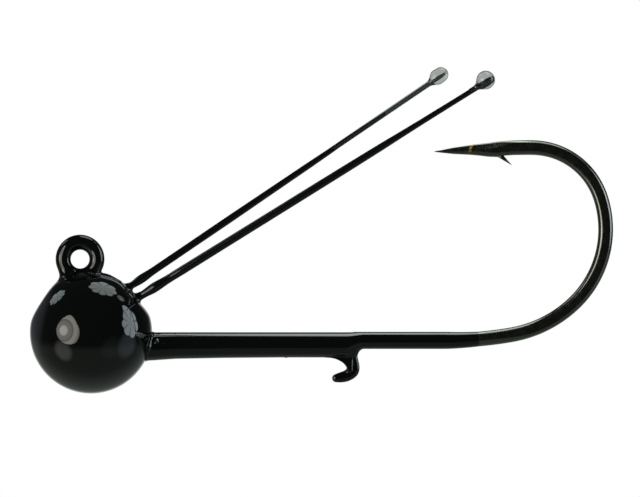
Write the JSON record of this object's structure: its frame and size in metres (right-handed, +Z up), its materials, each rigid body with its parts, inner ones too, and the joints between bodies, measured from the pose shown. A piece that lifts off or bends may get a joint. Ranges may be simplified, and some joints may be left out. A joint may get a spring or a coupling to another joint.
{
  "type": "jig head",
  "caption": "Ball-head fishing jig on a long bait hook, with a bait collar and keeper and a pair of springy wire weed guards.",
  "frame": {"origin": "centre of the line-tie eye's hole", "axes": "+X along the shank towards the bend, +Z up towards the hook point, +Y along the eye's hole to the right of the jig"},
  "size_m": [0.049, 0.0102, 0.0275],
  "materials": {
    "hook_steel": "black nickel plate on tempered carbon steel wire",
    "head_enamel": "baked gloss black enamel over cast lead",
    "guard_steel": "drawn stainless spring wire",
    "guard_coat": "dipped gloss black coating",
    "clear_resin": "clear cured resin drop"
  },
  "bodies": {
    "root": {"hook": "hook_steel", "ball_head": "head_enamel", "bait_collar": "head_enamel", "shank_enamel": "head_enamel", "guard_wire_anchor": "guard_steel", "left_guard_sleeve_root": "guard_coat", "right_guard_sleeve_root": "guard_coat"},
    "left_guard": {"left_guard_wire": "guard_steel", "left_guard_sleeve": "guard_coat", "left_guard_tip": "clear_resin"},
    "right_guard": {"right_guard_wire": "guard_steel", "right_guard_sleeve": "guard_coat", "right_guard_tip": "clear_resin"}
  },
  "joints": [
    {"name": "left_guard_flex", "type": "hinge", "parent": "root", "child": "left_guard", "pos_m": [0.00939, -0.00054, -0.00041], "axis": [0, 1, 0], "range_deg": [-10, 40], "stiffness_Nm_per_rad": 0.0031},
    {"name": "right_guard_flex", "type": "hinge", "parent": "root", "child": "right_guard", "pos_m": [0.00815, 0.0005, 0.00039], "axis": [0, 1, 0], "range_deg": [-10, 40], "stiffness_Nm_per_rad": 0.0031}
  ]
}
